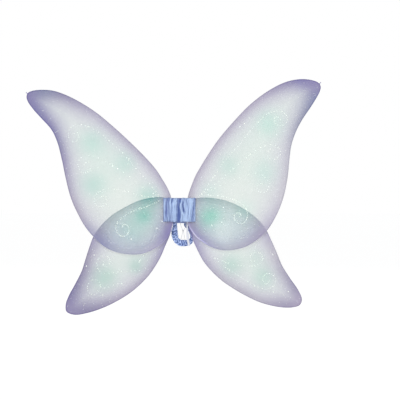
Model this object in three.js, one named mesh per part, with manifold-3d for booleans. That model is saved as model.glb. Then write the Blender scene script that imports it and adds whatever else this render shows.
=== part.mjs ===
// Fairy wings: four wire loops covered in sheer nylon, held by a fabric band, with two arm straps.
// Millimetres. +Z is up and +Y points at the wearer, whose left is -X. The origin is the middle of
// the band's flat wearer-side face, so every wing lies in a plane with a negative Y.
//
// Each loop is split at a vertical fold line just outside the band. The short U inside that line
// stays with the band, and the long loop outside it turns about the line, as the soft wire bends.

import * as THREE from 'three';
import { mergeVertices } from 'three/addons/utils/BufferGeometryUtils.js';
import Module from 'manifold-3d';

const wasm = await Module();
wasm.setup();

// ---- driving dimensions ----

const WIRE_RADIUS = 1.25;
const WIRE_SIDES = 6;
const SKIN_THICKNESS = 0.8;
const SKIN_INSET = 2.2; // from the wire's centre line to the skin's edge
const ROOT_SKIN_START = 28; // the skins' inner edge, outside the binding tape

const UPPER_PLANE_Y = -17;
const LOWER_PLANE_Y = -9;
const UPPER_FOLD_X = 58;
const LOWER_FOLD_X = 52;
const FOLD_CLEARANCE = 3.5; // from the fold line to each cut end of the wire
const SKIN_FOLD_CLEARANCE = 2;

const BAND_WIDTH = 96;
const BAND_TOP = 36;
const BAND_BOTTOM = -35;
const BAND_CORNER = 6;
const BAND_FRONT_Y = -27;
const BAND_FRONT_DEPTH = 5.5;
const BAND_BACK_DEPTH = 4.5;
const BAND_LIP_WIDTH = 28;
const BAND_LIP_HEIGHT = 3;
const CLEARANCE = 0.5; // between pieces that touch on the real object

const LEFT_STRAP_Y = -1.8; // the left strap hangs just in front of the right one
const RIGHT_STRAP_Y = 4.6;
const STRAP_THICK = 2.6; // half a strap's thickness
const STRAP_WALL = 1.4;
const STRAP_TAB_FRONT_Y = -7.1;
const STRAP_TAB_THICKNESS = 1.8;
const STRAP_TAB_BACK_Y = 1.6;
const STRAP_TAB_TOP = -30.5;
const STRAP_TAB_BOTTOM = -39.5;
const ELASTIC_ACROSS = 2.2;
const ELASTIC_THICK = 0.9;

// ---- wing outlines, as seen from the display side: [x, z] on the wire's centre line ----
// Each starts at the loop's inner end behind the band, climbs the leading edge to the tip and
// comes back along the trailing edge. The wire is bent by hand, so left and right differ a little.

const OUTLINES = {
  upper_left: [
    [-17, -5], [-26.5, 39], [-38.5, 67.5], [-53, 92], [-67.5, 115], [-94, 147], [-137, 191],
    [-194, 244], [-256, 295], [-325, 336], [-375, 355], [-412, 358.5], [-440, 355.5],
    [-452, 350], [-456.5, 340], [-453, 326], [-435.5, 301], [-412, 275], [-382, 241],
    [-365, 205], [-351, 152], [-339, 94], [-324, 37], [-304, -9], [-277, -55], [-230, -104],
    [-197, -122], [-157, -131], [-114, -130], [-77, -116], [-45, -91.5], [-27, -62],
  ],
  upper_right: [
    [21, -6], [26, 38], [30.5, 54], [39.8, 79.5], [50.7, 105], [63.3, 127], [87.7, 166.5],
    [119, 212], [165, 266], [215, 317], [272, 359], [322, 383], [367, 390.5], [400, 386.5],
    [415, 380], [421.5, 369.5], [419, 356], [410.5, 339], [392, 309], [367, 272], [348, 236],
    [334, 195], [328, 152], [323, 102], [312, 45], [294, -5], [264, -57], [232, -88],
    [197, -109], [158, -118.5], [125, -118.5], [94, -109], [72, -96], [54, -83.5],
    [37.5, -63.5], [29, -47],
  ],
  lower_left: [
    [-18, 0], [-28, 26], [-51, 37], [-84, 35.5], [-121, 27], [-160, 9], [-201, -16],
    [-235, -48], [-257, -80], [-269, -111], [-281, -148], [-292, -183], [-312, -223],
    [-332, -260], [-340, -284], [-338, -304], [-315, -313], [-278, -308], [-229, -292],
    [-177, -266], [-135, -237], [-92, -194], [-60.5, -145], [-43, -105], [-29, -71],
    [-22, -36],
  ],
  lower_right: [
    [18, 0], [28, 23], [50, 34], [104, 34], [153, 22], [204, -5], [239, -34], [259, -60],
    [273, -89], [290, -127], [307, -168], [331, -206], [355, -241], [366, -268], [360, -284],
    [338, -291], [300, -290], [242, -276], [187, -249.5], [157, -231.5], [127, -210.5],
    [97.5, -183], [73.5, -154], [60.5, -131], [48, -105], [38.5, -83], [31, -60], [25, -34],
  ],
};

// Each upper stocking's toe seam ends in a small knot just outside the wire at the tip.
const TIP_KNOTS = { upper_left: [-457.6, 350.6], upper_right: [421.6, 380.4] };
const TIP_KNOT_SIZE = [2.6, 2, 2.6];

// ---- route of the straps: [x, half width, z], chosen by hand. Both follow it, at their own Y ----

const STRAP_ROUTE = [
  [-13.3, 6.2, -41], [-14, 7, -52], [-15.3, 9.4, -66], [-13.5, 9.4, -79], [-8.8, 9, -91],
  [0, 9.2, -98], [11, 9.6, -99.5], [22, 9, -99], [31.5, 7.4, -95.5], [36, 5, -85.5],
  [35, 4.3, -73], [30.5, 4.3, -62], [24, 4.3, -53], [18.6, 4.3, -47], [17.4, 4.4, -41],
];

// ---- routes of the ribbon and the cords: [x, y, z], chosen by hand ----

const RIBBON_ROUTE = [
  [23.9, -13, -37], [23.2, -13, -52], [23.6, -12.8, -64], [24.3, -12.6, -80],
  [25.6, -12.8, -92], [27.4, -13, -101], [28.4, -13, -108],
];
const LEFT_CORD_ROUTE = [
  [3, -12, -37], [3.4, -12, -43], [5.4, -12, -50], [8.4, -12, -57], [9.8, -12, -62],
  [8.8, -12, -70], [6.6, -12, -78], [4.6, -12, -88],
];
const RIGHT_CORD_ROUTE = [
  [19, -14, -37], [19.6, -14, -45], [18.4, -14, -52], [14, -14, -57.5], [11.8, -14, -62],
  [12.8, -14, -69], [14.2, -14, -76], [14.6, -14, -86],
];
const CORD_KNOT_CENTRE = [10.8, -13, -62];
const CORD_RADIUS = 0.6;
const RIBBON_ACROSS = 2.6;
const RIBBON_THICK = 0.3;

// ---- materials ----

const colours = {
  wire: [0x85819f, 0.45, 0.6],
  nylon: [0xe4efea, 0.6, 0.0],
  band: [0x8ca0cc, 0.35, 0.1],
  backing: [0x7f93c4, 0.7, 0.0],
  strap: [0x6c86c6, 0.45, 0.0],
  elastic: [0xf2f2f0, 0.8, 0.0],
  thread: [0xb9b6d6, 0.8, 0.0],
  tape: [0xe9e9ee, 0.6, 0.0],
  foam: [0xdfe3ee, 0.95, 0.0],
};

function makeMaterial(name) {
  const [color, roughness, metalness] = colours[name];
  return new THREE.MeshStandardMaterial({ name, color, roughness, metalness });
}

const wings = new THREE.Group();

function addPiece(name, geometry, material) {
  const mesh = new THREE.Mesh(geometry, makeMaterial(material));
  mesh.name = name;
  wings.add(mesh);
  return mesh;
}

// ---- shapes ----

function ellipsePoints(radiusX, radiusY, sides) {
  const points = [];
  for (let i = 0; i < sides; i += 1) {
    const angle = (2 * Math.PI * i) / sides;
    points.push(new THREE.Vector2(radiusX * Math.cos(angle), radiusY * Math.sin(angle)));
  }
  return points;
}

function tubeAlong(path, steps, section) {
  return new THREE.ExtrudeGeometry(section, { steps, extrudePath: path, bevelEnabled: false });
}

function curveThrough(route) {
  return new THREE.CatmullRomCurve3(route.map((point) => new THREE.Vector3(...point)));
}

function roundedRectangle(left, right, bottom, top, corner) {
  const shape = new THREE.Shape();
  shape.moveTo(left + corner, bottom);
  shape.lineTo(right - corner, bottom);
  shape.absarc(right - corner, bottom + corner, corner, -Math.PI / 2, 0);
  shape.lineTo(right, top - corner);
  shape.absarc(right - corner, top - corner, corner, 0, Math.PI / 2);
  shape.lineTo(left + corner, top);
  shape.absarc(left + corner, top - corner, corner, Math.PI / 2, Math.PI);
  shape.lineTo(left, bottom + corner);
  shape.absarc(left + corner, bottom + corner, corner, Math.PI, 1.5 * Math.PI);
  return shape;
}

// A plate whose outline lies in the XZ plane, from frontY back to frontY + depth.
function uprightPlate(outline, frontY, depth, bevel = 0) {
  const geometry = new THREE.ExtrudeGeometry(outline, {
    depth: depth - 2 * bevel,
    curveSegments: 5,
    bevelEnabled: bevel > 0,
    bevelThickness: bevel,
    bevelSize: bevel,
    bevelOffset: -bevel,
    bevelSegments: 2,
  });
  geometry.rotateX(Math.PI / 2);
  geometry.translate(0, frontY + depth - bevel, 0);
  return geometry;
}

function boxBetween([x0, y0, z0], [x1, y1, z1]) {
  const geometry = new THREE.BoxGeometry(x1 - x0, y1 - y0, z1 - z0);
  geometry.translate((x0 + x1) / 2, (y0 + y1) / 2, (z0 + z1) / 2);
  return geometry;
}

function solidFrom(geometry) {
  const bare = geometry.clone();
  bare.deleteAttribute('normal');
  bare.deleteAttribute('uv');
  const merged = mergeVertices(bare, 1e-4);
  const vertProperties = Float32Array.from(merged.attributes.position.array);
  const triVerts = Uint32Array.from(merged.index.array);
  return new wasm.Manifold(new wasm.Mesh({ numProp: 3, vertProperties, triVerts }));
}

function joined(...geometries) {
  const whole = geometries.map(solidFrom).reduce((sum, next) => sum.add(next));
  const mesh = whole.getMesh();
  const geometry = new THREE.BufferGeometry();
  geometry.setAttribute('position', new THREE.BufferAttribute(mesh.vertProperties, 3));
  geometry.setIndex(new THREE.BufferAttribute(mesh.triVerts, 1));
  return geometry;
}

// ---- wing loops ----

// A stretch of a closed loop, which may run past the loop's own start.
class LoopStretch extends THREE.Curve {
  constructor(loop, start, end) {
    super();
    this.loop = loop;
    this.start = start;
    this.end = end;
  }

  getPoint(t, target) {
    const u = this.start + t * (this.end - this.start);
    return this.loop.getPointAt(u - Math.floor(u), target);
  }
}

// Where the loop first goes further out than x, counted from its inner end.
function crossing(loop, x, direction) {
  const step = 0.0005;
  let u = direction > 0 ? 0 : 1;
  while (Math.abs(loop.getPointAt(u).x) < x) {
    u += direction * step;
  }
  return u;
}

function outerStretch(loop, x) {
  return new LoopStretch(loop, crossing(loop, x, 1), crossing(loop, x, -1));
}

function rootStretch(loop, x) {
  return new LoopStretch(loop, crossing(loop, x, -1) - 1, crossing(loop, x, 1));
}

// The skin fills the inside of a stretch of wire, and ends in straight edges at the fold line
// and, on the root side, at the binding tape.
function skinPlate(stretch, steps, side, planeY, limits) {
  const outline = [];
  for (let i = 0; i <= steps; i += 1) {
    const point = stretch.getPointAt(i / steps);
    const along = stretch.getTangentAt(i / steps);
    const x = point.x + SKIN_INSET * side * along.z;
    const z = point.z - SKIN_INSET * side * along.x;
    if (Math.abs(x) > limits[0] && Math.abs(x) < limits[1]) {
      outline.push(new THREE.Vector2(x, z));
    }
  }
  return uprightPlate(new THREE.Shape(outline), planeY - SKIN_THICKNESS / 2, SKIN_THICKNESS);
}

function tieRing(loop, height, direction) {
  const innerRadius = WIRE_RADIUS + CLEARANCE;
  const outerRadius = innerRadius + 1.2;
  const half = 3.5;
  const step = 0.0005;
  let u = direction > 0 ? 0 : 1;
  while (Math.abs(loop.getPointAt(u).z) < height) {
    u += direction * step;
  }
  const profile = [
    new THREE.Vector2(innerRadius, -half),
    new THREE.Vector2(outerRadius, -half),
    new THREE.Vector2(outerRadius, half),
    new THREE.Vector2(innerRadius, half),
    new THREE.Vector2(innerRadius, -half),
  ];
  const geometry = new THREE.LatheGeometry(profile, 12);
  const up = new THREE.Vector3(0, 1, 0);
  const turn = new THREE.Quaternion().setFromUnitVectors(up, loop.getTangentAt(u));
  geometry.applyQuaternion(turn);
  const centre = loop.getPointAt(u);
  geometry.translate(centre.x, centre.y, centre.z);
  return geometry;
}

function addWing(name) {
  const upper = name.startsWith('upper');
  const side = name.endsWith('left') ? -1 : 1;
  const planeY = upper ? UPPER_PLANE_Y : LOWER_PLANE_Y;
  const foldX = upper ? UPPER_FOLD_X : LOWER_FOLD_X;
  const outerSteps = 80;
  const rootSteps = 24;
  const corners = OUTLINES[name].map(([x, z]) => new THREE.Vector3(x, planeY, z));
  const loop = new THREE.CatmullRomCurve3(corners, true, 'centripetal');
  loop.arcLengthDivisions = 1600;
  const wireSection = new THREE.Shape(ellipsePoints(WIRE_RADIUS, WIRE_RADIUS, WIRE_SIDES));

  const outer = outerStretch(loop, foldX + FOLD_CLEARANCE);
  addPiece(`${name}_wire`, tubeAlong(outer, outerSteps, wireSection), 'wire');
  const outerLimits = [foldX + SKIN_FOLD_CLEARANCE, Infinity];
  addPiece(`${name}_skin`, skinPlate(outer, outerSteps, side, planeY, outerLimits), 'nylon');

  const root = rootStretch(loop, foldX - FOLD_CLEARANCE);
  addPiece(`${name}_wire_root`, tubeAlong(root, rootSteps, wireSection), 'wire');
  const rootLimits = [ROOT_SKIN_START, foldX - SKIN_FOLD_CLEARANCE];
  addPiece(`${name}_skin_root`, skinPlate(root, rootSteps, side, planeY, rootLimits), 'nylon');
  addPiece(`${name}_root_tie`, tieRing(loop, 24, upper ? 1 : -1), 'thread');
}

function addTipKnots() {
  for (const [wing, [x, z]] of Object.entries(TIP_KNOTS)) {
    const geometry = new THREE.SphereGeometry(1, 12, 8);
    geometry.scale(...TIP_KNOT_SIZE);
    geometry.translate(x, UPPER_PLANE_Y, z);
    addPiece(`${wing}_tip_knot`, geometry, 'nylon');
  }
}

// ---- band ----

function addBand() {
  const half = BAND_WIDTH / 2;
  const panel = roundedRectangle(-half, half, BAND_BOTTOM, BAND_TOP, BAND_CORNER);
  const lipHalf = BAND_LIP_WIDTH / 2;
  const lipStartY = BAND_FRONT_Y + BAND_FRONT_DEPTH - 1;
  const lipEndY = STRAP_TAB_FRONT_Y - CLEARANCE;
  const topLip = boxBetween(
    [-lipHalf, lipStartY, BAND_TOP - BAND_LIP_HEIGHT],
    [lipHalf, lipEndY, BAND_TOP],
  );
  const bottomLip = boxBetween(
    [-lipHalf, lipStartY, BAND_BOTTOM],
    [lipHalf, lipEndY, BAND_BOTTOM + BAND_LIP_HEIGHT],
  );
  const front = uprightPlate(panel, BAND_FRONT_Y, BAND_FRONT_DEPTH, 1.5);
  addPiece('band_front', joined(front, topLip, bottomLip), 'band');
  addPiece('band_back', uprightPlate(panel, -BAND_BACK_DEPTH, BAND_BACK_DEPTH), 'backing');
}

// The wires' inner ends lie on a foam core, and tape goes round them all.
function addCore() {
  const halfWidth = 12;
  const halfHeight = 30;
  addPiece(
    'core_pad',
    boxBetween([-halfWidth, UPPER_PLANE_Y, -halfHeight], [halfWidth, LOWER_PLANE_Y, halfHeight]),
    'foam',
  );

  const tapeInnerX = 25;
  const tapeThickness = 0.8;
  const tapeHalfHeight = 12;
  const reach = WIRE_RADIUS + CLEARANCE;
  const frontY = UPPER_PLANE_Y - reach;
  const backY = LOWER_PLANE_Y + reach;
  const outer = roundedRectangle(
    -tapeInnerX - tapeThickness, tapeInnerX + tapeThickness,
    frontY - tapeThickness, backY + tapeThickness, 3 + tapeThickness,
  );
  outer.holes.push(roundedRectangle(-tapeInnerX, tapeInnerX, frontY, backY, 3));
  const tape = new THREE.ExtrudeGeometry(outer, {
    depth: 2 * tapeHalfHeight,
    curveSegments: 4,
    bevelEnabled: false,
  });
  tape.translate(0, 0, -tapeHalfHeight);
  addPiece('binding_tape', tape, 'tape');
}

// ---- straps: an elastic inside a ruched fabric tube, sewn to a tab held inside the band ----

// Elliptical rings of points round the strap's route, flat along Y, shrunk by inset.
function strapRings(planeY, inset) {
  const route = curveThrough(STRAP_ROUTE);
  const steps = 30;
  const rings = [];
  for (let i = 0; i <= steps; i += 1) {
    const [x, halfWidth, z] = route.getPoint(i / steps).toArray();
    const along = route.getTangent(i / steps).setY(0).normalize();
    rings.push(
      ellipsePoints(halfWidth - inset, STRAP_THICK - inset, 10).map(
        ({ x: across, y: depth }) => [x + across * along.z, planeY + depth, z - across * along.x],
      ),
    );
  }
  return rings;
}

// A tube, open at both ends, whose wall lies between matching outer and inner rings of points.
function tubeBetween(outer, inner) {
  const sides = outer[0].length;
  const lastRing = (outer.length - 1) * sides;
  const innerStart = outer.length * sides;
  const index = [];
  const quad = (a, b, c, d) => index.push(a, b, c, a, c, d);
  for (let j = 0; j < sides; j += 1) {
    const k = (j + 1) % sides;
    for (let here = 0; here < lastRing; here += sides) {
      const next = here + sides;
      quad(here + j, here + k, next + k, next + j);
      quad(
        innerStart + next + j, innerStart + next + k, innerStart + here + k, innerStart + here + j,
      );
    }
    quad(k, j, innerStart + j, innerStart + k);
    quad(lastRing + j, lastRing + k, innerStart + lastRing + k, innerStart + lastRing + j);
  }
  const geometry = new THREE.BufferGeometry();
  const positions = [...outer, ...inner].flat(2);
  geometry.setAttribute('position', new THREE.Float32BufferAttribute(positions, 3));
  geometry.setIndex(index);
  geometry.computeVertexNormals();
  return geometry;
}

function addStrap(name, planeY) {
  const cover = tubeBetween(strapRings(planeY, 0), strapRings(planeY, STRAP_WALL));
  addPiece(`${name}_strap_cover`, cover, 'strap');

  const path = curveThrough(STRAP_ROUTE.map(([x, , z]) => [x, planeY, z]));
  const elastic = new THREE.Shape(ellipsePoints(ELASTIC_THICK, ELASTIC_ACROSS, 8));
  addPiece(`${name}_strap_elastic`, tubeAlong(path, 30, elastic), 'elastic');
}

// Both straps' ends are sewn to one tab: a leg inside the band and a foot that turns back under it.
function addStrapTab() {
  const left = -20;
  const right = 22;
  const legBackY = STRAP_TAB_FRONT_Y + STRAP_TAB_THICKNESS;
  const footTop = STRAP_TAB_BOTTOM + STRAP_TAB_THICKNESS;
  const leg = boxBetween(
    [left, STRAP_TAB_FRONT_Y, STRAP_TAB_BOTTOM],
    [right, legBackY, STRAP_TAB_TOP],
  );
  const foot = boxBetween(
    [left, legBackY - 1, STRAP_TAB_BOTTOM],
    [right, STRAP_TAB_BACK_Y, footTop],
  );
  addPiece('strap_tab', joined(leg, foot), 'strap');
}

// ---- ribbon and cords that hang from the band's lower edge ----

function addHangings() {
  const ribbon = new THREE.Shape(ellipsePoints(RIBBON_THICK, RIBBON_ACROSS, 8));
  addPiece('white_ribbon', tubeAlong(curveThrough(RIBBON_ROUTE), 10, ribbon), 'elastic');
  const cord = new THREE.Shape(ellipsePoints(CORD_RADIUS, CORD_RADIUS, 8));
  addPiece('white_cord_left', tubeAlong(curveThrough(LEFT_CORD_ROUTE), 16, cord), 'elastic');
  addPiece('white_cord_right', tubeAlong(curveThrough(RIGHT_CORD_ROUTE), 16, cord), 'elastic');

  const knot = new THREE.LatheGeometry(
    [
      new THREE.Vector2(2.5, -1.5),
      new THREE.Vector2(3.3, -1.5),
      new THREE.Vector2(3.3, 1.5),
      new THREE.Vector2(2.5, 1.5),
      new THREE.Vector2(2.5, -1.5),
    ],
    12,
  );
  knot.rotateX(Math.PI / 2);
  knot.translate(...CORD_KNOT_CENTRE);
  addPiece('white_cord_knot', knot, 'elastic');
}

Object.keys(OUTLINES).forEach(addWing);
addTipKnots();
addBand();
addCore();
addStrap('left', LEFT_STRAP_Y);
addStrap('right', RIGHT_STRAP_Y);
addStrapTab();
addHangings();

export default wings;
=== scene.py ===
"""Fairy wings: sheer airbrushed nylon on wire loops, a crushed satin band and ruched arm straps.

Metres, +Z up, +Y towards the wearer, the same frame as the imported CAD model.
"""

import math

import bmesh
import bpy
import numpy as np
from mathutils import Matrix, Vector, geometry, noise


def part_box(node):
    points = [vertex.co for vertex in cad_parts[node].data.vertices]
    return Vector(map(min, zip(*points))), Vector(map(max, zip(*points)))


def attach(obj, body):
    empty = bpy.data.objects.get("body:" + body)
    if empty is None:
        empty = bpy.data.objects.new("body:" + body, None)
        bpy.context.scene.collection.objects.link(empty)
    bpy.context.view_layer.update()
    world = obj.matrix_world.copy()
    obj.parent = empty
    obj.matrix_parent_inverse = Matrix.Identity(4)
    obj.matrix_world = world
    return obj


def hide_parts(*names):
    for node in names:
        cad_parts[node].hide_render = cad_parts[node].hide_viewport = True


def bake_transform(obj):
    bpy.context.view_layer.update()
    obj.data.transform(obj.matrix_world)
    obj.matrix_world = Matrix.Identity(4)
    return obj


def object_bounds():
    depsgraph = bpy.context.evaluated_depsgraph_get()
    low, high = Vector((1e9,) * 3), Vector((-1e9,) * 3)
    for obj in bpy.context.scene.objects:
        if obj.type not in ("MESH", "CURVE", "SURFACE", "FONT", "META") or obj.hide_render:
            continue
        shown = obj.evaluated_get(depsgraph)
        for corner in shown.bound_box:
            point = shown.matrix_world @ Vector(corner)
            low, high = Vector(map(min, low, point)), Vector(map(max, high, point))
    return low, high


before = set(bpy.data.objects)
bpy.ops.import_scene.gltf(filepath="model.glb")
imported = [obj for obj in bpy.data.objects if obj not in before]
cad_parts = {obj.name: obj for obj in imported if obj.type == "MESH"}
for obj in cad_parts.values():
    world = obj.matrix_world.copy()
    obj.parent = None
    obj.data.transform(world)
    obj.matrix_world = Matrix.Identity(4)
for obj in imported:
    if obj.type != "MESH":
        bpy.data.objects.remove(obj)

CAD_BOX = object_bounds()
MM = 0.001

# ---- sizes taken over from the CAD model, in metres ----

UPPER_Y = -0.017
LOWER_Y = -0.009
WIRE_RADIUS = 0.00125
SKIN_RADIUS = WIRE_RADIUS + 0.0002
ROOT_X = 0.027
ROOT_Z = -0.033
STRAP_Y = {"left": -0.0018, "right": 0.0046}
STRAP_HALF_THICK = 0.0026
STRAP_TOP_Z = -0.0398  # the tops of the covers, just under the strap tab
ELASTIC_HALF_THICK = 0.0009
ELASTIC_HALF_WIDTH = 0.0022
CORD_RADIUS = 0.0006
RIBBON_WIDTH = 0.0068
CORD_KNOT = Vector((0.0108, -0.013, -0.062))

# The centre line of both straps: (x, half width, z).
STRAP_ROUTE = [
    (-0.0133, 0.0062, -0.0398), (-0.0140, 0.0070, -0.052), (-0.0153, 0.0094, -0.066),
    (-0.0135, 0.0094, -0.079), (-0.0088, 0.0090, -0.091), (0, 0.0092, -0.098),
    (0.011, 0.0096, -0.0995), (0.022, 0.0090, -0.099), (0.0315, 0.0074, -0.0955),
    (0.036, 0.0050, -0.0855), (0.035, 0.0043, -0.073), (0.0305, 0.0043, -0.062),
    (0.024, 0.0043, -0.053), (0.0186, 0.0043, -0.047), (0.0174, 0.0044, -0.0398),
]

# Routes of the ribbon and the cords, (x, y, z), the same points as in the CAD.
RIBBON_ROUTE = [
    (0.0239, -0.013, -0.037), (0.0232, -0.013, -0.052), (0.0236, -0.0128, -0.064),
    (0.0243, -0.0126, -0.080), (0.0256, -0.0128, -0.092), (0.0274, -0.013, -0.101),
    (0.0284, -0.013, -0.108),
]
LEFT_CORD_ROUTE = [
    (0.003, -0.012, -0.037), (0.0034, -0.012, -0.043), (0.0054, -0.012, -0.050),
    (0.0084, -0.012, -0.057), (0.0098, -0.012, -0.062), (0.0088, -0.012, -0.070),
    (0.0066, -0.012, -0.078), (0.0046, -0.012, -0.088),
]
RIGHT_CORD_ROUTE = [
    (0.019, -0.014, -0.037), (0.0196, -0.014, -0.045), (0.0184, -0.014, -0.052),
    (0.014, -0.014, -0.0575), (0.0118, -0.014, -0.062), (0.0128, -0.014, -0.069),
    (0.0142, -0.014, -0.076), (0.0146, -0.014, -0.086),
]

# ---- the wings' outlines, tones and drawings: (x, z) in millimetres ----

# Outlines run on the wire's centre line from the inner end up the leading edge to the tip, and
# back along the trailing edge.
OUTLINES = {
    "upper_left": [
        (-17, -5), (-26.5, 39), (-38.5, 67.5), (-53, 92), (-67.5, 115), (-94, 147), (-137, 191),
        (-194, 244), (-256, 295), (-325, 336), (-375, 355), (-412, 358.5), (-440, 355.5),
        (-452, 350), (-456.5, 340), (-453, 326), (-435.5, 301), (-412, 275), (-382, 241),
        (-365, 205), (-351, 152), (-339, 94), (-324, 37), (-304, -9), (-277, -55), (-230, -104),
        (-197, -122), (-157, -131), (-114, -130), (-77, -116), (-45, -91.5), (-27, -62),
    ],
    "upper_right": [
        (21, -6), (26, 38), (30.5, 54), (39.8, 79.5), (50.7, 105), (63.3, 127), (87.7, 166.5),
        (119, 212), (165, 266), (215, 317), (272, 359), (322, 383), (367, 390.5), (400, 386.5),
        (415, 380), (421.5, 369.5), (419, 356), (410.5, 339), (392, 309), (367, 272), (348, 236),
        (334, 195), (328, 152), (323, 102), (312, 45), (294, -5), (264, -57), (232, -88),
        (197, -109), (158, -118.5), (125, -118.5), (94, -109), (72, -96), (54, -83.5),
        (37.5, -63.5), (29, -47),
    ],
    "lower_left": [
        (-18, 0), (-28, 26), (-51, 37), (-84, 35.5), (-121, 27), (-160, 9), (-201, -16),
        (-235, -48), (-257, -80), (-269, -111), (-281, -148), (-292, -183), (-312, -223),
        (-332, -260), (-340, -284), (-338, -304), (-315, -313), (-278, -308), (-229, -292),
        (-177, -266), (-135, -237), (-92, -194), (-60.5, -145), (-43, -105), (-29, -71),
        (-22, -36),
    ],
    "lower_right": [
        (18, 0), (28, 23), (50, 34), (104, 34), (153, 22), (204, -5), (239, -34), (259, -60),
        (273, -89), (290, -127), (307, -168), (331, -206), (355, -241), (366, -268), (360, -284),
        (338, -291), (300, -290), (242, -276), (187, -249.5), (157, -231.5), (127, -210.5),
        (97.5, -183), (73.5, -154), (60.5, -131), (48, -105), (38.5, -83), (31, -60), (25, -34),
    ],
}

# The airbrushed edges: a place on the outline, its tone over white, and how far in it reaches.
EDGE_TONES = {
    "upper_left": [
        (-30, 50, 0xBDB9CB, 15), (-137, 191, 0xBAB6C8, 17), (-256, 295, 0xB6B2C6, 20),
        (-300, 322, 0xABA7BF, 27), (-348, 346, 0x9B97B3, 28), (-403, 358, 0x8E92AF, 40),
        (-454, 345, 0x8E88B1, 85), (-431, 295, 0x8A88B2, 40), (-393, 255, 0x8C88B2, 25),
        (-365, 205, 0x9795B5, 20), (-350, 149, 0xA09BBA, 21), (-339, 94, 0xB1ADC3, 19),
        (-300, -15, 0xBAB5C6, 20), (-232, -102, 0xA8AAC8, 22), (-183, -126, 0xBFC3D3, 12),
        (-73, -114, 0xC4C2D6, 15), (-33, -75, 0xA8A3C9, 24),
    ],
    "upper_right": [
        (28, 45, 0xC0BBCB, 15), (119, 212, 0xC0BBCB, 16), (240, 337, 0xB9B4C8, 20),
        (322, 383, 0x9E99B9, 27), (358, 390, 0x8D89B6, 26), (420, 367, 0x9A93B9, 90),
        (406, 332, 0x9094B5, 36), (375, 285, 0x9B9EB6, 19), (331, 182, 0xC5C4D0, 18),
        (312, 45, 0xD0CDD6, 20), (243, -78, 0xBCB7CD, 23), (142, -119, 0xC4C6D3, 12),
        (60, -88, 0xB0AECF, 14),
    ],
    "lower_left": [
        (-30, 28, 0xACBACE, 13), (-111, 29, 0xA9BECD, 12), (-201, -16, 0xB0BDCE, 16),
        (-246, -62, 0xB0ADCA, 28), (-278, -138, 0xABA6BB, 24), (-327, -251, 0x8D88AE, 34),
        (-340, -294, 0x9B93B8, 95), (-270, -306, 0x9590B0, 38), (-177, -266, 0xB6B0C4, 20),
        (-92, -194, 0xB9B4C6, 18), (-45, -105, 0xA8A4C3, 20), (-25, -48, 0xA29DCA, 22),
    ],
    "lower_right": [
        (30, 25, 0xACBACE, 13), (104, 34, 0xB2C6D2, 12), (204, -5, 0xBAC6D4, 16),
        (259, -60, 0xBEBAD1, 23), (290, -127, 0xC6C3CE, 22), (345, -228, 0xA8A4BD, 27),
        (364, -275, 0xB6ADC5, 55), (320, -291, 0xA9A3BD, 38), (242, -276, 0xBFBBCA, 20),
        (127, -210, 0xC2BFCC, 19), (60, -131, 0xB8B4CC, 18), (30, -60, 0xA29FC6, 28),
    ],
}

# Airbrushed patches: centre, radius, strength from 0 to 1, and tone over white. Where an upper wing
# lies over a lower one, the lower one's patches are stronger, or nearly bare.
PATCHES = {
    "upper_left": [
        (-261, 198, 40, 0.9, 0xC6E2DA), (-162, 143, 34, 0.7, 0xC6E2DA), (-258, 76, 40, 0.8, 0xC6E2DA),
        (-92, 44, 36, 0.8, 0xC2E0D8), (-205, 160, 60, 0.25, 0xD0E8E0),
        (-107, -20, 26, 0.8, 0xC2E2DA), (-140, -60, 40, 0.4, 0xD0E8E2),
    ],
    "upper_right": [
        (268, 258, 42, 0.8, 0xCAE8DE), (146, 135, 36, 0.6, 0xC6E2DA), (256, 116, 40, 0.6, 0xCCE6DF),
        (90, 52, 34, 0.4, 0xCCE6DF), (200, 200, 60, 0.2, 0xD0E8E0), (94, -22, 32, 0.8, 0xC6EADF),
        (194, 0, 28, 0.6, 0xD8EEE6), (136, -64, 40, 0.7, 0xF2F8F6),
    ],
    "lower_left": [
        (-228, -202, 38, 1.0, 0xB4D6CA), (-131, -170, 20, 0.7, 0xB9D9CE),
        (-120, -150, 45, 0.4, 0xC2DED4), (-88, 28, 30, 0.9, 0x9AD0C8),
        (-107, -20, 34, 0.9, 0xAEE4DA), (-138, -50, 36, 0.6, 0xCCEAE8), (-92, -62, 34, 0.7, 0xE6F6F6),
    ],
    "lower_right": [
        (156, -166, 34, 0.7, 0xBEDDD2), (252, -202, 34, 0.8, 0xBEDDD2), (94, -22, 38, 0.9, 0xACE4D8),
        (192, 0, 28, 0.8, 0xDEF4F0), (192, -54, 24, 0.3, 0xC8E8E2), (136, -62, 42, 0.9, 0xEEF8F8),
        (232, -145, 28, 0.4, 0xC6E2D8),
    ],
}

# Where the rim catches the light: centre, radius and how much brighter.
RIM_GLINTS = {"upper_right": [(50, -80, 34, 1.0)]}

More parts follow.
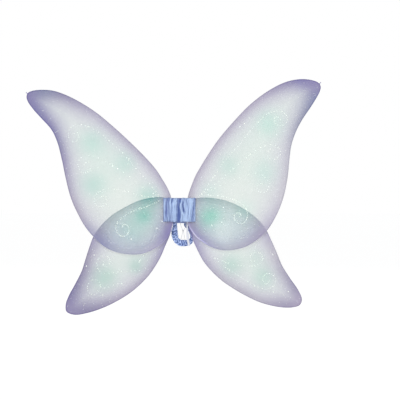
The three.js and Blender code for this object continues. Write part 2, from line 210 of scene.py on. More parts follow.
# Glitter glue lines: how solid each is drawn, then its route from the root out into its curl.
VINES = {
    "upper_left": [
        (0.8, [(-64, 46), (-72, 56), (-96, 87), (-117, 109), (-152, 150), (-180, 181),
               (-202, 200), (-224, 219), (-245, 236), (-276, 250), (-306, 257), (-326, 246),
               (-332, 231), (-329, 211), (-316, 204), (-303, 212), (-302, 226), (-310, 233),
               (-317, 226)]),
        (0.6, [(-64, 44), (-86, 52), (-117, 74), (-157, 106), (-200, 133), (-237, 153),
               (-262, 163), (-282, 163), (-297, 154), (-304, 136), (-297, 117), (-285, 111),
               (-271, 118), (-265, 132), (-271, 143), (-281, 141), (-287, 133)]),
        (0.8, [(-62, 40), (-100, 40), (-126, 46), (-150, 54), (-176, 59), (-205, 63),
               (-232, 59), (-251, 45), (-255, 31), (-250, 15), (-238, 9), (-225, 13),
               (-217, 25), (-222, 39), (-231, 42), (-237, 34)]),
        (1.6, [(-62, 27), (-99, 10), (-134, -1), (-164, -17), (-186, -38), (-190, -54),
               (-182, -73), (-170, -79), (-158, -75), (-151, -60), (-154, -48), (-164, -43),
               (-173, -51)]),
    ],
    "upper_right": [
        (1.0, [(66, 48), (78, 63), (90, 82), (109, 108), (130, 140), (147, 161), (175, 191),
               (207, 231), (230, 257), (258, 284), (284, 296), (302, 296), (316, 289),
               (324, 276), (321, 265), (311, 255), (296, 253), (285, 263), (286, 276),
               (296, 279), (302, 271)]),
        (0.7, [(66, 48), (97, 70), (135, 101), (172, 133), (207, 163), (232, 180), (252, 191),
               (273, 196), (292, 190), (302, 176), (300, 162), (288, 153), (275, 151),
               (265, 161), (265, 175), (274, 183), (284, 177)]),
        (0.7, [(66, 48), (92, 58), (127, 75), (163, 91), (196, 103), (224, 109), (246, 106),
               (261, 93), (268, 79), (262, 58), (249, 52), (236, 58), (230, 71), (239, 79),
               (250, 78)]),
        (1.5, [(56, 38), (67, 47), (92, 44), (127, 41), (150, 35), (184, 21), (200, 2),
               (203, -20), (196, -35), (186, -40), (173, -37), (164, -25), (167, -12),
               (176, -8), (184, -15), (179, -21)]),
    ],
    "lower_left": [
        (0.9, [(-120, -182), (-150, -183), (-186, -186), (-211, -191), (-233, -188),
               (-244, -178), (-249, -166), (-246, -152), (-240, -143), (-225, -136),
               (-212, -142), (-208, -153), (-213, -165), (-222, -169), (-230, -164)]),
        (0.9, [(-174, -220), (-202, -226), (-222, -234), (-237, -230), (-237, -221),
               (-245, -212), (-256, -208), (-268, -213), (-276, -226), (-276, -238),
               (-271, -248), (-261, -255), (-250, -252), (-246, -241)]),
        (0.5, [(-62, -58), (-84, -95), (-104, -130), (-118, -152), (-124, -162)]),
    ],
    "lower_right": [
        (0.9, [(106, -143), (130, -154), (152, -161), (178, -166), (200, -169), (222, -168),
               (238, -162), (248, -152), (249, -140), (242, -130), (229, -127), (216, -132),
               (212, -144), (218, -154), (229, -153)]),
        (1.1, [(237, -231), (257, -238), (276, -232), (286, -222), (289, -209), (284, -198),
               (277, -192), (268, -190), (258, -193), (250, -203), (252, -216), (260, -222),
               (270, -214)]),
        (0.7, [(106, -146), (125, -163), (150, -180), (168, -192), (190, -205), (216, -221),
               (237, -231)]),
    ],
}

# Single bright sparkles.
SPARKLES = {
    "upper_left": [(-67, -55), (-145, -87), (-51, -34), (-154, 138), (-200, 133), (-151, 153)],
    "upper_right": [(132, 8), (97, -45), (126, -37), (181, 249), (195, 259), (209, 276)],
    "lower_left": [(-256, -135), (-279, -168), (-230, -255), (-119, -152), (-174, -220)],
    "lower_right": [(282, -246), (327, -244), (150, -180), (225, -228), (280, -134)],
}

# ---- curves ----


def catmull_rom(points, closed, per_segment=24):
    """A centripetal Catmull-Rom curve through the points, as an array of points."""
    p = np.array(points, float)
    n = len(p)
    if closed:
        ring = [p[(i - 1) % n] for i in range(n + 3)]
    else:
        ring = [2 * p[0] - p[1], *p, 2 * p[-1] - p[-2]]
    line = []
    for p0, p1, p2, p3 in zip(ring, ring[1:], ring[2:], ring[3:]):
        d0, d1, d2 = (np.sqrt(np.linalg.norm(b - a)) for a, b in ((p0, p1), (p1, p2), (p2, p3)))
        m1 = ((p1 - p0) / d0 - (p2 - p0) / (d0 + d1) + (p2 - p1) / d1) * d1
        m2 = ((p2 - p1) / d1 - (p3 - p1) / (d1 + d2) + (p3 - p2) / d2) * d1
        for t in np.linspace(0, 1, per_segment, endpoint=False):
            a = 2 * t**3 - 3 * t**2 + 1
            b = t**3 - 2 * t**2 + t
            c = -2 * t**3 + 3 * t**2
            d = t**3 - t**2
            line.append(a * p1 + b * m1 + c * p2 + d * m2)
    if not closed:
        line.append(p[-1])
    return np.array(line)


def evenly(line, count, closed=False):
    """The line again as count points, evenly spaced along it."""
    whole = np.vstack([line, line[:1]]) if closed else line
    along = np.concatenate([[0], np.cumsum(np.linalg.norm(np.diff(whole, axis=0), axis=1))])
    at = np.linspace(0, along[-1], count, endpoint=not closed)
    return np.stack([np.interp(at, along, whole[:, k]) for k in range(whole.shape[1])], axis=1)


def length_of(line):
    return float(np.linalg.norm(np.diff(line, axis=0), axis=1).sum())


def normals_in(line, side):
    """Unit normals of a closed flat outline, pointing inside it."""
    along = np.roll(line, -1, axis=0) - np.roll(line, 1, axis=0)
    along /= np.linalg.norm(along, axis=1)[:, None]
    return side * np.stack([along[:, 1], -along[:, 0]], axis=1)


def points_inside(outline, points):
    """Which (x, z) points are inside a closed outline, by counting crossings."""
    inside = np.zeros(len(points), bool)
    x, z = points.T
    for (x0, z0), (x1, z1) in zip(outline, np.roll(outline, -1, axis=0)):
        if z1 != z0:
            crosses = (z0 > z) != (z1 > z)
            inside ^= crosses & (x < x0 + (z - z0) * (x1 - x0) / (z1 - z0))
    return inside


# ---- meshes ----


def mesh_piece(name, verts, faces, material, smooth=True):
    mesh = bpy.data.meshes.new(name)
    mesh.from_pydata([tuple(v) for v in verts], [], [tuple(f) for f in faces])
    mesh.validate()
    mesh.update()
    mesh.polygons.foreach_set("use_smooth", [smooth] * len(mesh.polygons))
    piece = bpy.data.objects.new(name, mesh)
    bpy.context.scene.collection.objects.link(piece)
    mesh.materials.append(material)
    return piece


def set_paint(piece, colours):
    """Stores one colour (r, g, b, a) for each vertex, which the materials read as paint."""
    layer = piece.data.color_attributes.new("paint", "FLOAT_COLOR", "POINT")
    layer.data.foreach_set("color", np.asarray(colours, np.float32).ravel())


def clean_up(piece, weld=0.0):
    """Deletes the vertices that no face uses, and joins those closer than weld."""
    work = bmesh.new()
    work.from_mesh(piece.data)
    loose = [v for v in work.verts if not v.link_faces]
    bmesh.ops.delete(work, geom=loose, context="VERTS")
    if weld:
        bmesh.ops.remove_doubles(work, verts=work.verts, dist=weld)
        bmesh.ops.recalc_face_normals(work, faces=work.faces)
    work.to_mesh(piece.data)
    work.free()


def frames_along(line, reference, closed=False):
    """Two unit normals at each point of a line, carried along it without twisting."""
    if closed:
        along = np.roll(line, -1, axis=0) - np.roll(line, 1, axis=0)
    else:
        along = np.gradient(line, axis=0)
    along /= np.linalg.norm(along, axis=1)[:, None]
    normal = np.array(reference, float)
    first, second = [], []
    for t in along:
        normal = normal - t * normal.dot(t)
        normal /= np.linalg.norm(normal)
        first.append(normal)
        second.append(np.cross(t, normal))
    return np.array(first), np.array(second)


def sweep(line, offsets, reference, closed=False):
    """Verts and faces of a tube: offsets[i][j] is section i's point j in its two normals."""
    first, second = frames_along(line, reference, closed)
    offsets = np.asarray(offsets, float)
    n, sides = offsets.shape[:2]
    verts = (
        line[:, None, :]
        + offsets[:, :, :1] * first[:, None, :]
        + offsets[:, :, 1:] * second[:, None, :]
    ).reshape(-1, 3)
    faces = []
    for i in range(n if closed else n - 1):
        k = (i + 1) % n
        for j in range(sides):
            m = (j + 1) % sides
            faces.append((i * sides + m, k * sides + m, k * sides + j, i * sides + j))
    if not closed:
        faces.append(tuple(range(sides)))
        faces.append(tuple(range(n * sides - 1, (n - 1) * sides - 1, -1)))
    return verts, faces


def circle(radius, sides):
    angles = np.linspace(0, math.tau, sides, endpoint=False)
    return np.stack([radius * np.cos(angles), radius * np.sin(angles)], axis=1)


def round_tube(name, line, radius, sides, material, reference=(0, 1, 0), closed=False):
    offsets = np.repeat(circle(radius, sides)[None], len(line), axis=0)
    verts, faces = sweep(line, offsets, reference, closed)
    return mesh_piece(name, verts, faces, material)


def wave(x, y, z, octaves=3):
    """Smooth noise from about -1 to 1, the same on each run."""
    return noise.fractal(Vector((x, y, z)), 0.8, 2.0, octaves)


def smoothstep(start, end, x):
    t = np.clip((x - start) / (end - start), 0, 1)
    return t * t * (3 - 2 * t)


# ---- colours ----


def linear(code):
    """An sRGB colour such as 0xE4EFEA, as linear numbers."""
    parts = np.array([(code >> shift) & 255 for shift in (16, 8, 0)]) / 255
    return np.where(parts <= 0.04045, parts / 12.92, ((parts + 0.055) / 1.055) ** 2.4)


def mix(a, b, amount):
    amount = np.asarray(amount, float)[..., None]
    return a * (1 - amount) + b * amount


# ---- materials ----


class Nodes:
    """A small helper that makes a material's node tree."""

    def __init__(self, name, roughness, metallic=0.0, sheen=0.0, specular=0.5):
        self.material = bpy.data.materials.new(name)
        self.material.use_nodes = True
        self.tree = self.material.node_tree
        self.shader = self.tree.nodes["Principled BSDF"]
        self.shader.inputs["Roughness"].default_value = roughness
        self.shader.inputs["Metallic"].default_value = metallic
        self.shader.inputs["Sheen Weight"].default_value = sheen
        self.shader.inputs["Specular IOR Level"].default_value = specular

    def add(self, kind, settings=(), **inputs):
        node = self.tree.nodes.new(kind)
        for key, value in dict(settings).items():
            setattr(node, key, value)
        for key, value in inputs.items():
            self.set(node.inputs[key.replace("_", " ")], value)
        return node

    def set(self, socket, value):
        if isinstance(value, bpy.types.NodeSocket):
            self.tree.links.new(value, socket)
        else:
            socket.default_value = value

    def link(self, output, key):
        self.tree.links.new(output, self.shader.inputs[key])

    def paint(self):
        return self.add("ShaderNodeAttribute", {"attribute_name": "paint"}).outputs

    def place(self, stretch=(1, 1, 1)):
        where = self.add("ShaderNodeTexCoord").outputs["Object"]
        return self.add("ShaderNodeMapping", Vector=where, Scale=stretch).outputs["Vector"]

    def math(self, operation, a, b):
        node = self.add("ShaderNodeMath", {"operation": operation})
        self.set(node.inputs[0], a)
        self.set(node.inputs[1], b)
        return node.outputs["Value"]

    def noise(self, scale, detail=3.0, stretch=(1, 1, 1)):
        place = self.place(stretch)
        return self.add("ShaderNodeTexNoise", Vector=place, Scale=scale, Detail=detail).outputs["Fac"]

    def range(self, value, low, high):
        """Maps 0..1 to low..high."""
        node = self.add("ShaderNodeMapRange", Value=value, To_Min=low, To_Max=high)
        return node.outputs["Result"]

    def bump(self, height, distance, strength=0.6):
        node = self.add("ShaderNodeBump", Height=height, Distance=distance, Strength=strength)
        self.link(node.outputs["Normal"], "Normal")

    def colour(self, colour, factor):
        """The base colour, brightened or darkened by factor."""
        node = self.add("ShaderNodeVectorMath", {"operation": "SCALE"}, Scale=factor)
        self.set(node.inputs["Vector"], colour)
        self.link(node.outputs["Vector"], "Base Color")

    def weave(self, threads_per_metre):
        """The height of a fine woven or knitted cloth, from 0 to 1."""
        vector = self.place()
        waves = [
            self.add(
                "ShaderNodeTexWave",
                {"wave_type": "BANDS", "bands_direction": direction},
                Vector=vector,
                Scale=threads_per_metre * math.tau / 20,
            ).outputs["Fac"]
            for direction in ("X", "Z")
        ]
        return self.math("MAXIMUM", *waves)


def nylon_material():
    """Sheer knitted nylon: the paint's colour and opacity, with a fine knit and faint glints."""
    m = Nodes("sheer_nylon", roughness=0.55, sheen=0.05, specular=0.2)
    paint = m.paint()
    m.colour(paint["Color"], m.range(m.noise(55.0, 4.0), 0.93, 1.07))
    knit = m.weave(900)
    sheer = m.math("MULTIPLY", paint["Alpha"], m.range(knit, 0.93, 1.05))
    m.link(m.math("MINIMUM", sheer, 1.0), "Alpha")
    m.bump(knit, 0.0001, 0.25)
    return m.material


def wire_material():
    """Soft wire in a thin coat that has taken the nylon's tone."""
    m = Nodes("coated_wire", roughness=0.45, specular=0.3)
    stain = m.noise(220.0)
    m.colour(m.paint()["Color"], m.range(stain, 0.85, 1.1))
    m.link(m.range(stain, 0.35, 0.55), "Roughness")
    return m.material


def satin_material(name, roughness):
    """Shiny crushed satin: painted shade in the folds and painted highlights on the ridges and puffs,
    read from the paint; a fine thread, and streaks along the thread.
    """
    m = Nodes(name, roughness=roughness, sheen=0.1, specular=0.45)
    m.shader.inputs["Sheen Roughness"].default_value = 0.35
    streak = m.noise(1.0, 3.0, (900, 900, 90))
    m.colour(m.paint()["Color"], m.range(streak, 0.84, 1.14))
    m.link(m.range(streak, roughness - 0.12, roughness + 0.14), "Roughness")
    m.bump(m.weave(2200), 0.00008, 0.35)
    return m.material


def cloth_material(name, colour, roughness, threads, depth=0.00015, mottle=0.12):
    """Matt cloth: felt, elastic, thread or tape."""
    m = Nodes(name, roughness=roughness, sheen=0.15, specular=0.2)
    m.colour(linear(colour), m.range(m.noise(400.0, 5.0), 1 - mottle, 1 + mottle))
    m.bump(m.weave(threads), depth, 0.5)
    return m.material


def foam_material():
    m = Nodes("foam", roughness=0.95, specular=0.2)
    cells = m.add("ShaderNodeTexVoronoi", Vector=m.place(), Scale=1400.0).outputs["Distance"]
    # Painted shade: each cell is darker where the bump dips into a pore.
    m.colour(linear(0xDFE3EE), m.range(cells, 0.75, 1.1))
    m.bump(cells, 0.0003, 0.6)
    return m.material


def glitter_material():
    """Loose glitter: each flake has its own tint and shine, and a faint painted glow stands in for its
    sparkle.
    """
    m = Nodes("glitter", roughness=0.3, metallic=0.1, specular=0.8)
    grain = m.noise(900.0)
    m.colour(m.paint()["Color"], m.range(grain, 0.9, 1.1))
    m.link(m.range(grain, 0.15, 0.4), "Roughness")
    # A faint painted glow on every flake, in place of the sparkle of light.
    m.shader.inputs["Emission Color"].default_value = (0.85, 1.0, 0.96, 1)
    m.shader.inputs["Emission Strength"].default_value = 0.12
    return m.material


NYLON = nylon_material()
WIRE = wire_material()
SATIN = satin_material("band_satin", 0.36)
STRAP_SATIN = satin_material("strap_satin", 0.40)
FELT = cloth_material("backing_felt", 0x8796C6, 0.85, 1500)
ELASTIC = cloth_material("white_elastic", 0xEAEAEC, 0.7, 1800, mottle=0.06)
CORD = cloth_material("white_cord", 0xC6C6CC, 0.8, 2400, mottle=0.06)
RIBBON = cloth_material("white_ribbon_satin", 0xDEE0EA, 0.5, 2600, mottle=0.05)
THREAD = cloth_material("thread", 0xB9B6D6, 0.6, 3000)
TAPE = cloth_material("cloth_tape", 0xE4E4EA, 0.6, 1800)
FOAM = foam_material()
GLITTER = glitter_material()

# ---- wings ----

SHEER_TONE = linear(0xE7EEE9)
HAZE_TONE = linear(0xDAD8E3)
COVERED_TONE = linear(0xD3E2F2)
MIDDLE_OPACITY = 0.50
EDGE_OPACITY = 0.86
WIRE_SHADE = 0.95

# The grey haze inside the airbrushed edge: how strong it is, and how far in it reaches.
HAZE_AMOUNT = 0.75
HAZE_REACH = 0.040


class Wing:
    """One wing's outline and the numbers that its pieces share."""

    def __init__(self, name):
        self.name = name
        self.side = -1 if name.endswith("left") else 1
        self.upper = name.startswith("upper")
        self.y = UPPER_Y if self.upper else LOWER_Y
        self.outline = evenly(catmull_rom(OUTLINES[name], True) * MM, 460, closed=True)
        self.inward = normals_in(self.outline, self.side)
        self.tones = self.tones_along()

    def tones_along(self):
        """The airbrushed tone and its reach, (r, g, b, reach), at each step of the outline."""
        count = len(self.outline)
        steps, rows = [], []
        for x, z, tone, reach in EDGE_TONES[self.name]:
            steps.append(np.linalg.norm(self.outline - (x * MM, z * MM), axis=1).argmin())
            rows.append([*linear(tone), reach * MM])
        rows = np.array(rows).T
        return np.stack([np.interp(range(count), steps, row, period=count) for row in rows], axis=1)

    def away(self, points):
        """How far each (x, z) point is from each step of the outline."""
        return np.linalg.norm(points[:, None, :] - self.outline[None], axis=2)

    def depth(self, points):
        return self.away(points).min(axis=1)

    def join(self, piece):
        """Bakes the piece's placement into its mesh."""
        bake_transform(piece)


WINGS = {name: Wing(name) for name in OUTLINES}


def wing_paint(wing, points, depth):
    """Each point's own colour and opacity, worked out from the tone that it shows over white."""
    weight = (wing.away(points) + 0.003) ** -4
    edge = weight @ wing.tones / weight.sum(axis=1, keepdims=True)
    wobble = np.array([wave(8 * x, 3, 8 * z) for x, z in points])
    tone = mix(SHEER_TONE, HAZE_TONE, HAZE_AMOUNT / (1 + (depth / HAZE_REACH) ** 2))
    if not wing.upper:
        cover = WINGS[wing.name.replace("lower", "upper")]
        covered = points_inside(cover.outline, points) * smoothstep(0, 0.020, cover.depth(points))
        tone = mix(tone, COVERED_TONE, covered)
    for x, z, radius, strength, patch in PATCHES[wing.name]:
        spread = np.linalg.norm(points / MM - (x, z), axis=1) / radius
        amount = strength * (1 + 0.3 * wobble) * np.exp(-(spread**2))
        tone = mix(tone, linear(patch), np.clip(amount, 0, 1))
    fade = 1 / (1 + (depth / (edge[:, 3] * (1 + 0.12 * wobble))) ** 2)
    tone = mix(tone, edge[:, :3], fade)
    rim = smoothstep(0.0030, 0.0012, depth)
    glint = np.zeros(len(points))
    for x, z, radius, lift in RIM_GLINTS.get(wing.name, []):
        spread = np.linalg.norm(points / MM - (x, z), axis=1) / radius
        glint += lift * np.exp(-(spread**2))
    tone *= (1 + glint * rim)[:, None]

    opacity = MIDDLE_OPACITY + (EDGE_OPACITY - MIDDLE_OPACITY) * np.maximum(fade, rim)
    own = (tone - (1 - opacity[:, None])) / opacity[:, None]
    return np.column_stack([np.clip(own, 0.02, 1), 1 - np.sqrt(1 - opacity)])


def skin_gap(depth):
    """How far each layer of the skin lies from the middle: widest on the wire."""
    return (0.2 + 0.9 * np.exp(-depth / 0.010)) * SKIN_RADIUS


def wing_billow(wing, x, z, depth):
    """How far both layers of the skin lie off the wing's plane: soft pulls and root folds."""
    soft = 0.0011 * wave(9 * x, 1.7 * wing.side, 9 * z, 2)
    angle = math.atan2(z, abs(x) - 0.005)
    away = math.hypot(x, z)
    folds = 0.0007 * math.sin(34 * angle) * math.exp(-max(away - 0.03, 0) / 0.035)
    return (soft + folds) * min(depth / 0.02, 1)


def wing_triangles(wing):
    """Points all over the wing's area, closer together at its edge, and triangles over them."""
    ring_depths = (0.0, 0.0016, 0.0034, 0.0062, 0.0100)
    flat = [p + n * d for d in ring_depths for p, n in zip(wing.outline, wing.inward)]
    pitch = 0.0065
    low, high = wing.outline.min(axis=0), wing.outline.max(axis=0)
    grid = np.array([
        (x + (row % 2) * pitch / 2, z)
        for row, z in enumerate(np.arange(low[1], high[1], pitch * 0.87))
        for x in np.arange(low[0], high[0], pitch)
    ])
    flat += list(grid[wing.depth(grid) > 0.0145])
    border = list(range(len(wing.outline)))
    found = geometry.delaunay_2d_cdt([Vector(p) for p in flat], [], [border], 1, 1e-7)
    return np.array([tuple(v) for v in found[0]]), found[2]


def behind_band(point):
    """Whether a point of the skin is past its tied inner end."""
    return abs(point[0]) <= ROOT_X and point[1] > ROOT_Z


def make_skin(wing):
    """A stocking over the loop: two thin layers, with a flat-sided wrap at the wire, open at the root."""
    points, triangles = wing_triangles(wing)
    depth = wing.depth(points)
    depth[depth < 1e-5] = 0
    lift = np.array([wing_billow(wing, x, z, d) for (x, z), d in zip(points, depth)])
    gap = skin_gap(depth)
    gap[depth == 0] = SKIN_RADIUS
    front = np.stack([points[:, 0], wing.y + lift - gap, points[:, 1]], axis=1)
    back = np.stack([points[:, 0], wing.y + lift + gap, points[:, 1]], axis=1)
    x, z = (wing.outline - wing.inward * SKIN_RADIUS).T
    wrap = np.stack([x, np.full(len(x), wing.y), z], axis=1)

    total = len(points)
    faces = []
    for face in triangles:
        if any(behind_band(points[i]) for i in face):
            continue
        a, b, c = (points[i] for i in face[:3])
        turn = (b[0] - a[0]) * (c[1] - a[1]) - (b[1] - a[1]) * (c[0] - a[0])
        up = tuple(face) if turn > 0 else tuple(face[::-1])
        faces.append(up)
        faces.append(tuple(i + total for i in up[::-1]))

    count = len(wing.outline)
    at_rim = [int(i) for i in wing.away(points).argmin(axis=0)]
    for step in range(count):
        after = (step + 1) % count
        a, b = at_rim[step], at_rim[after]
        if behind_band(points[a]) or behind_band(points[b]):
            continue
        m, k = 2 * total + step, 2 * total + after
        for face in ((a, b, k, m), (m, k, b + total, a + total)):
            faces.append(face if wing.side > 0 else face[::-1])

    paint = wing_paint(wing, points, depth)
    piece = mesh_piece(f"{wing.name}_nylon", np.vstack([front, back, wrap]), faces, NYLON)
    set_paint(piece, np.vstack([paint, paint, paint[at_rim]]))
    clean_up(piece)
    after = np.roll(wing.outline, -1, axis=0)
    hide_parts(f"{wing.name}_skin", f"{wing.name}_skin_root")
    wing.join(piece)


def make_wire(wing):
    x, z = wing.outline.T
    line = np.stack([x, np.full(len(x), wing.y), z], axis=1)
    sides = 8
    piece = round_tube(f"{wing.name}_wire_loop", line, WIRE_RADIUS, sides, WIRE, closed=True)
    tones = np.column_stack([wing.tones[:, :3] * WIRE_SHADE, np.ones(len(line))])
    set_paint(piece, np.repeat(tones, sides, axis=0))
    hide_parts(f"{wing.name}_wire", f"{wing.name}_wire_root")
    wing.join(piece)


# ---- glitter ----

STRAY_SPACING = 0.012
STRAY_SPREAD = 0.0024
FINE_STEP = 0.0005
CURL_LENGTH = 0.130
CURL_KNOT_GAP = 0.0064
STEM_KNOT_GAP = 0.0112
LOOSE_FLAKES = {"upper": 800, "lower": 500}
SPARKLE_FLAKES = 9
FLAKE_SIDES = 6
GLITTER_SEED = 11
GLITTER_TINTS = [linear(code) for code in (0xFFFFFF, 0xFFFFEE, 0xF0FFE8, 0xE8FFF4)]


def drawn_flakes(route, solid, random):
    """Flakes along a glue line, (x, z, size): knots of flakes, a few dashes, and stray flakes."""
    line = catmull_rom(route, False) * MM
    total = length_of(line)
    strays = evenly(line, int(total / STRAY_SPACING * solid))
    strays = strays + random.normal(0, STRAY_SPREAD, strays.shape)
    flakes = [np.column_stack([strays, random.uniform(0.0003, 0.0005, len(strays))])]
    fine = evenly(line, 1 + int(total / FINE_STEP))
    at = 0.0
    while at < total:
        usual_gap = CURL_KNOT_GAP if at > total - CURL_LENGTH else STEM_KNOT_GAP
        gap = random.uniform(0.6, 1.4) * usual_gap / solid
        dash = gap * (0.8 if random.random() < 0.12 * solid else 0.1)
        count = random.integers(2, 8)
        along = at + random.uniform(0, dash, count)
        spots = fine[np.minimum((along / FINE_STEP).astype(int), len(fine) - 1)]
        spots = spots + random.normal(0, 0.0006, spots.shape)
        flakes.append(np.column_stack([spots, random.uniform(0.0004, 0.0008, count)]))
        at += gap
    return np.vstack(flakes)


def flake(centre, size, lean, spin):
    """A small six-sided flake, a shallow closed cone that faces forward."""
    ring = []
    for k in range(FLAKE_SIDES):
        angle = spin + k * math.tau / FLAKE_SIDES
        dx, dz = size * math.cos(angle), size * math.sin(angle)
        ring.append((centre[0] + dx, centre[1] + lean[0] * dx + lean[1] * dz, centre[2] + dz))
    return [*ring, (centre[0], centre[1] - size * 0.35, centre[2])]


def make_glitter(wing, seed):
    """All the flakes of one wing as one piece: the drawn lines, the sparkles and loose specks."""
    random = np.random.default_rng(seed)
    flakes = [drawn_flakes(route, solid, random) for solid, route in VINES[wing.name]]
    for spot in SPARKLES[wing.name]:
        cluster = np.array(spot) * MM + random.normal(0, 0.0009, (SPARKLE_FLAKES, 2))
        sizes = random.uniform(0.0005, 0.0008, SPARKLE_FLAKES)
        flakes.append(np.column_stack([cluster, sizes]))
    low, high = wing.outline.min(axis=0), wing.outline.max(axis=0)
    loose = random.uniform(low, high, (LOOSE_FLAKES[wing.name.split("_")[0]], 2))
    flakes.append(np.column_stack([loose, random.uniform(0.0003, 0.0007, len(loose))]))
    flakes = np.vstack(flakes)

    spots = flakes[:, :2]
    depth = wing.depth(spots)
    keep = points_inside(wing.outline, spots) & (depth > 0.004) & (np.abs(spots[:, 0]) > 0.050)
    verts, faces, colours = [], [], []
    for (x, z, size), deep in zip(flakes[keep], depth[keep]):
        y = wing.y + wing_billow(wing, x, z, deep) - skin_gap(deep) - 0.00005
        base = len(verts)
        verts += flake((x, y, z), size, random.normal(0, 0.12, 2), random.uniform(0, math.tau))
        tip = base + FLAKE_SIDES
        faces += [(base + k, base + (k + 1) % FLAKE_SIDES, tip) for k in range(FLAKE_SIDES)]
        faces.append(tuple(base + k for k in reversed(range(FLAKE_SIDES))))
        tint = GLITTER_TINTS[random.integers(len(GLITTER_TINTS))]
        colours += [(*tint, 1)] * (FLAKE_SIDES + 1)
    piece = mesh_piece(f"{wing.name}_glitter", verts, faces, GLITTER, smooth=False)
    set_paint(piece, colours)
    wing.join(piece)


def make_tip_knot(wing):
    """The stocking's toe seam: a gathered, pleated neck from the wire to a little nub."""
    low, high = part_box(f"{wing.name}_tip_knot")
    centre, half = (low + high) / 2, (high - low) / 2
    nearest = wing.outline[wing.away(np.array([(centre.x, centre.z)])).argmin()]
    out = centre - Vector((nearest[0], centre.y, nearest[1]))
    axis, over = out.normalized(), Vector((0, 1, 0))
    up = axis.cross(over)
    rows, columns = 18, 36
    verts = []
    for i in range(rows + 1):
        along = 1 - math.cos(math.pi * i / rows)
        neck = math.sin(math.pi * i / rows) * (0.62 + 0.38 * math.cos(math.tau * along * 0.55))
        spot = centre + axis * (half.x - (out.length + half.x) * along / 2)
        for j in range(columns):
            around = math.tau * j / columns
            reach = neck * (1 + 0.12 * math.sin(9 * around + 2 * along))
            side = over * (half.y * math.cos(around)) + up * (half.z * math.sin(around))
            verts.append(spot + side * reach)
    faces = [
        (i * columns + j, (i + 1) * columns + j,
         (i + 1) * columns + (j + 1) % columns, i * columns + (j + 1) % columns)
        for i in range(rows)
        for j in range(columns)
    ]
    piece = mesh_piece(f"{wing.name}_toe_knot", verts, faces, NYLON)
    clean_up(piece, weld=1e-6)
    set_paint(piece, [(*linear(0x8F8BB4), 0.97)] * len(piece.data.vertices))
    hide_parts(f"{wing.name}_tip_knot")
    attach(piece, f"{wing.name}_wing")


for number, wing in enumerate(WINGS.values()):
    make_wire(wing)
    make_skin(wing)
    make_glitter(wing, GLITTER_SEED + number)
    if wing.upper:
        make_tip_knot(wing)

# ---- band ----

BAND_LOW, BAND_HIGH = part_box("band_front")
BAND_REAR_Y = UPPER_Y - 0.0028  # just in front of the nylon
BAND_FACE = 0.0034  # from the CAD band's front to the bottom of a fold
BAND_RELIEF = 0.0032  # from the bottom of a fold to its ridge

# The side edges turn back, and the top and bottom edges roll back: over how much, and how far.
TURNED_OVER, TURNED_BACK = 0.009, 0.0052
ROLLED_OVER, ROLLED_BACK = 0.005, 0.0038
# The band's painted shade for the bottoms of its folds, painted highlight for its ridges, and a purple
# tint.
BAND_FOLD_SHADE = linear(0x566BAA)
BAND_RIDGE_HIGHLIGHT = linear(0xBAD0F2)
BAND_PURPLE = linear(0x8286BC)

# The band's main folds: x in millimetres, and 0 in the bottom of a fold to 1 on a ridge.
BAND_FOLDS = [
    (-48, 0.45), (-41, 0.50), (-34, 0.26), (-28, 0.48), (-22, 0.30), (-16, 0.85), (-10, 0.60),
    (-3, 0.03), (2, 0.28), (8, 0.72), (13, 0.55), (20, 0.92), (27, 0.80), (32, 0.88),
    (38, 0.68), (44, 0.40), (48, 0.55),
]

# Short folds and ridges over them: x, z, half width, half height, how deep or high, and lean.
BAND_TUCKS = [
    (-3, -8, 6, 27, -0.35, 0), (12, 8, 3.5, 18, -0.85, -0.12), (-13, 26, 6, 10, 0.45, 0),
    (-34, 0, 1.4, 34, 0.40, 0), (-38, -4, 3, 30, -0.35, 0), (-25, 0, 1.4, 34, 0.45, -0.04),
    (-19, -6, 1.5, 26, 0.50, 0.06), (-11, -6, 1.4, 26, 0.45, 0), (-44, 0, 1.2, 32, 0.30, 0),
    (-21, 28, 4, 8, -0.50, 0), (5, 18, 1.8, 14, 0.55, 0.12), (9, -10, 1.9, 16, 0.65, -0.35),
    (16, 14, 1.8, 18, 0.40, -0.20), (34, 8, 1.8, 26, 0.40, 0.20), (27, -6, 1.6, 24, -0.40, 0.10),
    (41, 0, 1.6, 32, -0.50, 0.04), (2, 30, 5, 8, -0.40, 0), (21, 24, 2, 10, -0.45, -0.3),
    (17, -22, 2.5, 10, 0.25, 0), (36, -22, 1.4, 12, -0.35, -0.2),
]


def crease(x, z):
    """The height of the crushed satin, from 0 in a fold to 1 on a ridge."""
    slant = x + 0.0020 * wave(40 * z, 5, 12 * x) + 0.0009 * wave(160 * z, 8, 40 * x)
    height = float(np.interp(slant / MM, *zip(*BAND_FOLDS)))
    for tuck_x, tuck_z, wide, tall, lift, lean in BAND_TUCKS:
        up = z / MM - tuck_z
        u, v = (slant / MM - tuck_x - lean * up) / wide, up / tall
        height += lift * math.exp(-(u * u) - v**4)
    streak = noise.noise(Vector((slant * 420, z * 16, 7.1)))
    fine = noise.noise(Vector((slant * 1100, z * 60, 4.4)))
    return height + 0.55 * streak + 0.50 * fine + 0.16 * wave(30 * x, 1, 40 * z)


